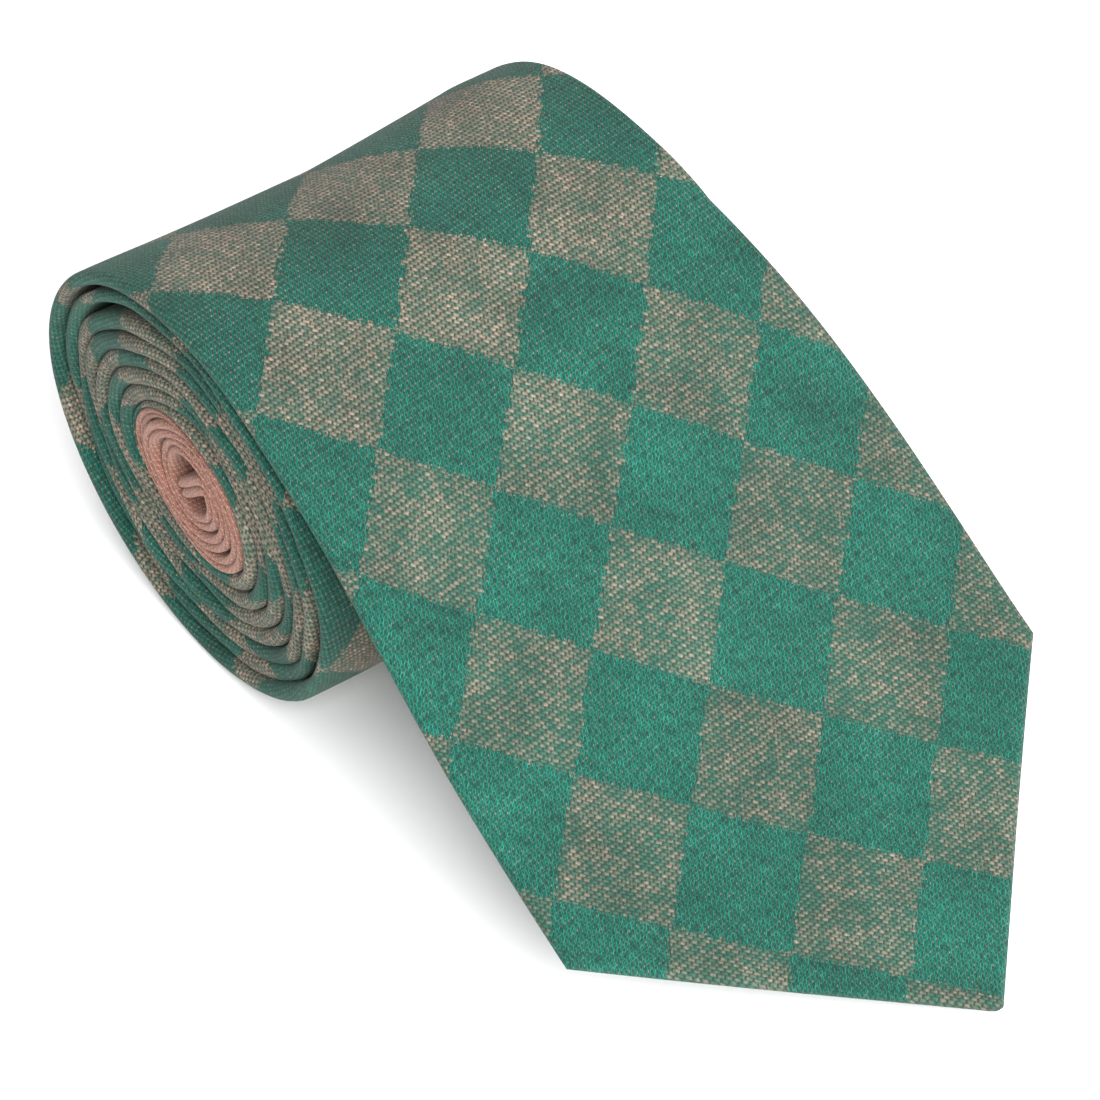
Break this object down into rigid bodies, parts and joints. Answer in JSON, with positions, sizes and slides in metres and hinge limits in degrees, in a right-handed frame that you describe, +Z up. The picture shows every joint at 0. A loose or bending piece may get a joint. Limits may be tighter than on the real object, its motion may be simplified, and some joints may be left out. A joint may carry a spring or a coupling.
{
  "type": "necktie",
  "caption": "Rolled necktie with a checked shell, lying with its pointed front blade run out from the roll.",
  "frame": {"origin": "centre of the bounding box at the table", "axes": "+X along the roll's axis to the stepped end, -Y towards the point of the blade, +Z up"},
  "size_m": [0.089, 0.1784, 0.0666],
  "materials": {
    "check_cloth": "matte jacquard check in teal green and grey beige",
    "tail_cloth": "plain copper twill",
    "interlining": "brushed wool blend",
    "tipping": "smooth lining satin",
    "thread": "twisted polyester thread",
    "label": "woven satin, blank",
    "tag": "printed satin ribbon, blank"
  },
  "bodies": {
    "roll": {"tail_shell": "tail_cloth", "neck_shell": "check_cloth", "blade_shell_wound": "check_cloth", "tail_interlining": "interlining", "blade_interlining_wound": "interlining", "tail_tipping": "tipping", "blade_tipping_wound": "tipping", "slip_stitch_wound": "thread", "tail_bar_tack": "thread", "tail_seam_stitches": "thread", "neck_seam_stitches": "thread", "keeper_loop": "check_cloth", "keeper_tacks": "thread", "label_patch": "label", "care_tag": "tag"},
    "free_blade": {"blade_shell_free": "check_cloth", "blade_interlining_free": "interlining", "blade_tipping_free": "tipping", "slip_stitch_free": "thread", "front_bar_tack": "thread"},
    "blade_point": {"point_shell": "check_cloth", "point_interlining": "interlining", "point_tipping": "tipping", "point_hem_stitches": "thread"}
  },
  "joints": [
    {"name": "blade_lift", "type": "hinge", "parent": "roll", "child": "free_blade", "pos_m": [0, 0.02748, 0.06231], "axis": [-1, 0, 0], "range_deg": [0, 90]},
    {"name": "point_fold", "type": "hinge", "parent": "free_blade", "child": "blade_point", "pos_m": [0, -0.03293, 0.02689], "axis": [-1, 0, 0], "range_deg": [0, 70]}
  ]
}
